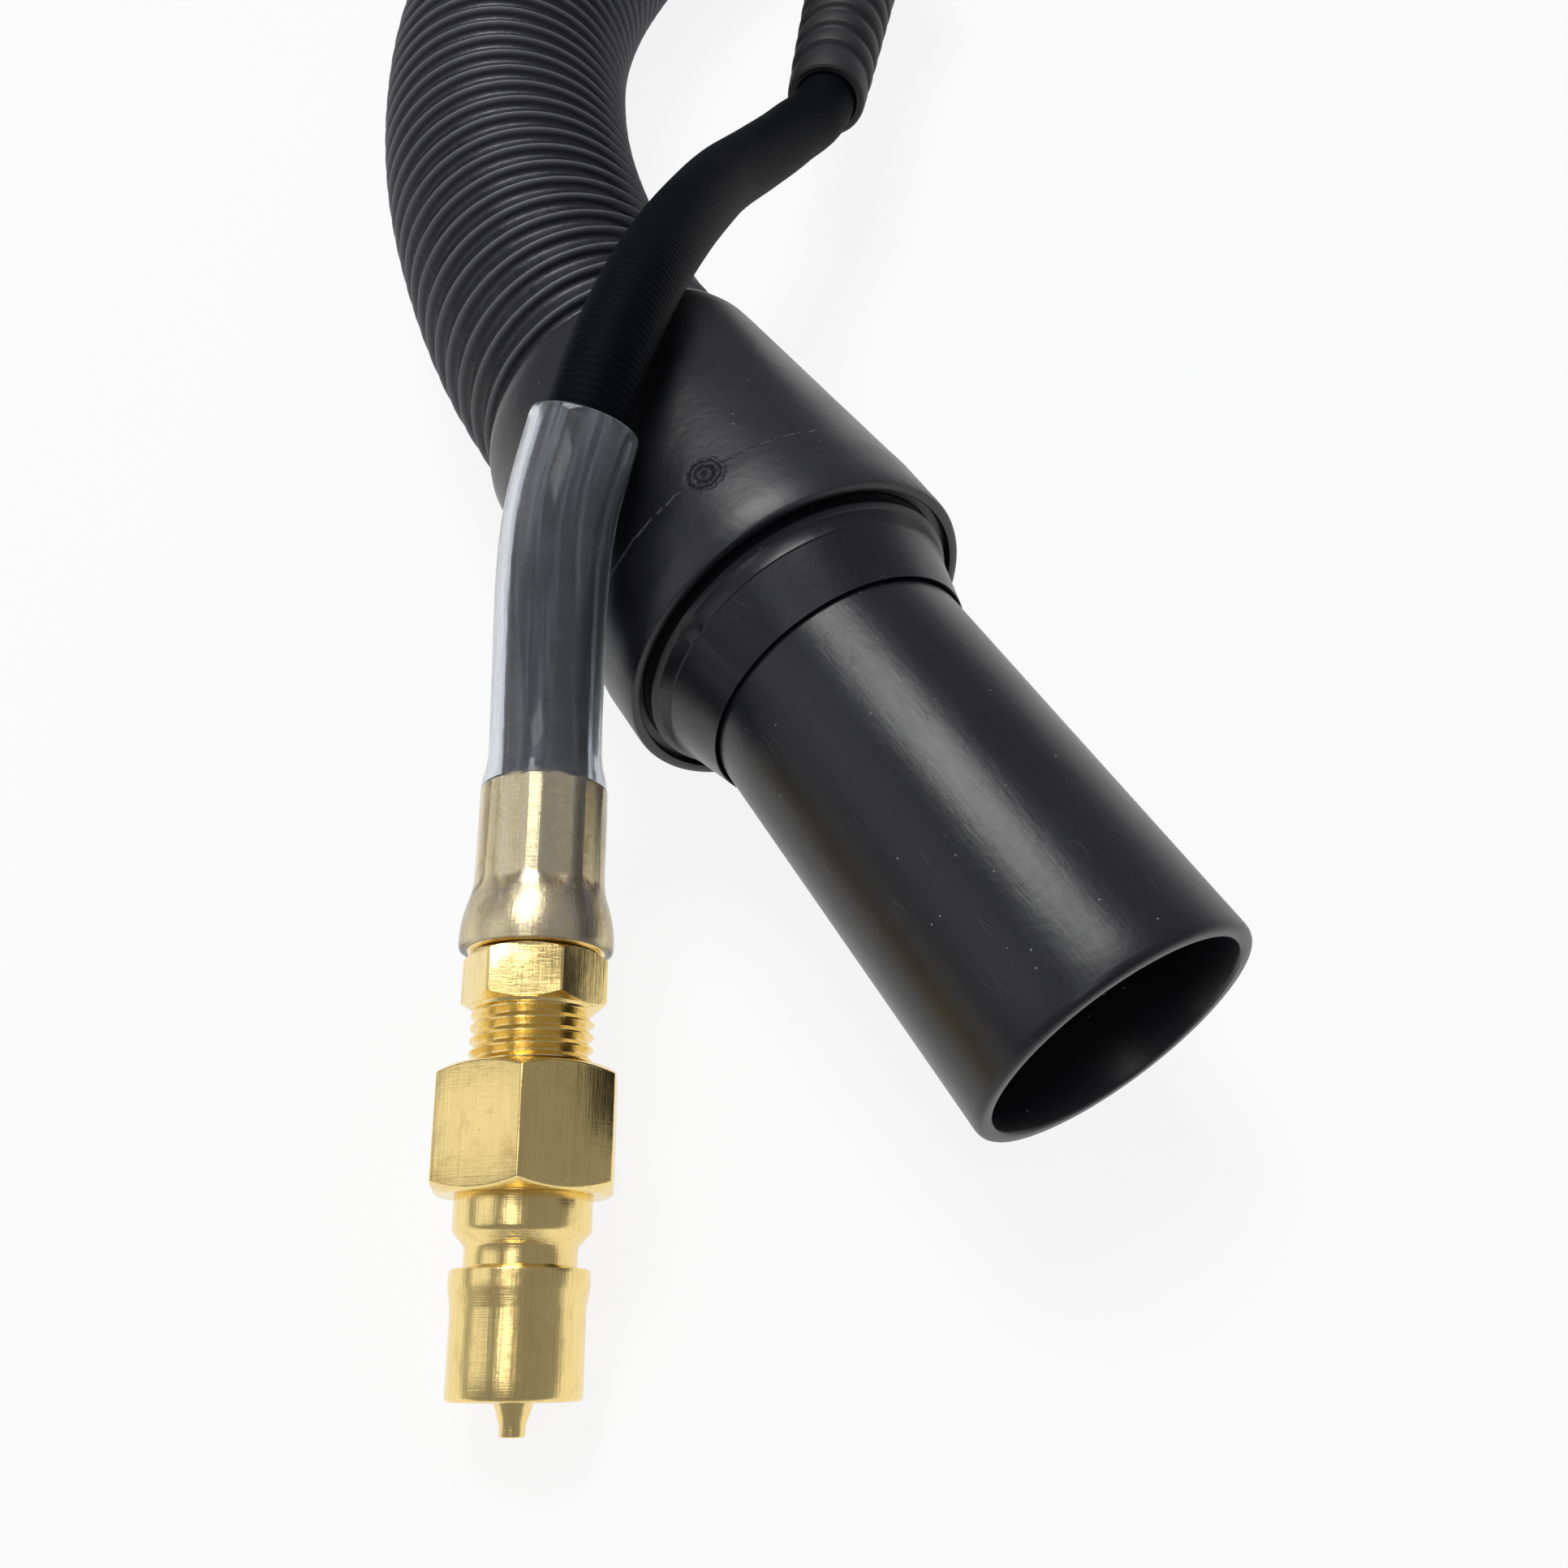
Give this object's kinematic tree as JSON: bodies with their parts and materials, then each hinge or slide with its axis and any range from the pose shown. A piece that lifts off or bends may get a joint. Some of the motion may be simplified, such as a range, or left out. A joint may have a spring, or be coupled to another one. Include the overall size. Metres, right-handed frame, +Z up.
{
  "type": "vacuum and solution hose set",
  "caption": "Vacuum hose with an inner solution line, for a carpet extractor: swivel cuffs, brass quick-disconnect plug and coupler, clear crimp sleeve and a tied coil.",
  "frame": {"origin": "middle of the swivel tube's mouth at the tool end", "axes": "+Y along the cuff into the hose, +Z up; the set lies on the plane z = -0.024"},
  "size_m": [0.6853, 0.7964, 0.0882],
  "materials": {
    "black_plastic": "satin moulded, black",
    "hose_plastic": "satin ribbed hose, black",
    "hose_rubber": "matt, wrapped",
    "rubber": "matt moulded",
    "clear_plastic": "clear soft tubing",
    "brass": "machined, lightly worn",
    "dull_brass": "drawn and crimped, dull",
    "steel": "turned",
    "webbing": "hook-and-loop webbing, black"
  },
  "bodies": {
    "set": {"cuff_ring": "black_plastic", "swivel_seal": "rubber", "cuff_bell": "black_plastic", "vacuum_hose": "hose_plastic", "tool_wye": "black_plastic", "tool_nut": "black_plastic", "tool_boot": "rubber", "solution_hose": "hose_rubber", "clear_sleeve": "clear_plastic", "crimp_ferrule": "dull_brass", "hose_stem": "brass", "plug_body": "brass", "plug_spring": "steel", "plug_retainer": "brass", "hose_coil": "hose_plastic", "coil_ties": "webbing", "machine_wye": "black_plastic", "machine_ring": "black_plastic", "machine_seal": "rubber", "machine_nut": "black_plastic", "machine_boot": "rubber", "supply_hose": "hose_rubber", "supply_ferrule": "dull_brass", "supply_stem": "brass", "coupler_adapter": "brass", "coupler_body": "brass", "coupler_sleeve_spring": "steel", "coupler_snap_ring": "steel", "coupler_balls": "steel", "coupler_o_ring": "rubber", "coupler_poppet_spring": "steel", "coupler_retainer": "brass"},
    "cuff_swivel": {"swivel_tube": "black_plastic"},
    "machine_swivel": {"machine_tube": "black_plastic"},
    "plug_valve": {"plug_poppet": "brass", "plug_seal": "rubber"},
    "coupler_grip": {"coupler_sleeve": "steel"},
    "coupler_valve": {"coupler_poppet": "brass", "coupler_poppet_seal": "rubber"}
  },
  "joints": [
    {"name": "cuff_swivel_turn", "type": "hinge", "parent": "set", "child": "cuff_swivel", "pos_m": [0, 0.06, 0], "axis": [0, 1, 0], "continuous": true},
    {"name": "machine_swivel_turn", "type": "hinge", "parent": "set", "child": "machine_swivel", "pos_m": [-0.14763, 0.43992, 0.0402], "axis": [0.3183, 0.948, 0], "continuous": true},
    {"name": "plug_valve_slide", "type": "slide", "parent": "set", "child": "plug_valve", "axis": [0.4917, 0.8314, 0.2588], "range_m": [0, 0.003], "stiffness_N_per_m": 500, "springref_m": -0.004, "deforming": ["plug_spring"]},
    {"name": "coupler_grip_slide", "type": "slide", "parent": "set", "child": "coupler_grip", "axis": [0.0621, 0.9981, 0], "range_m": [0, 0.005], "stiffness_N_per_m": 800, "springref_m": -0.004, "deforming": ["coupler_sleeve_spring"]},
    {"name": "coupler_valve_slide", "type": "slide", "parent": "set", "child": "coupler_valve", "axis": [0.0621, 0.9981, 0], "range_m": [0, 0.003], "stiffness_N_per_m": 500, "springref_m": -0.004, "deforming": ["coupler_poppet_spring"]}
  ]
}
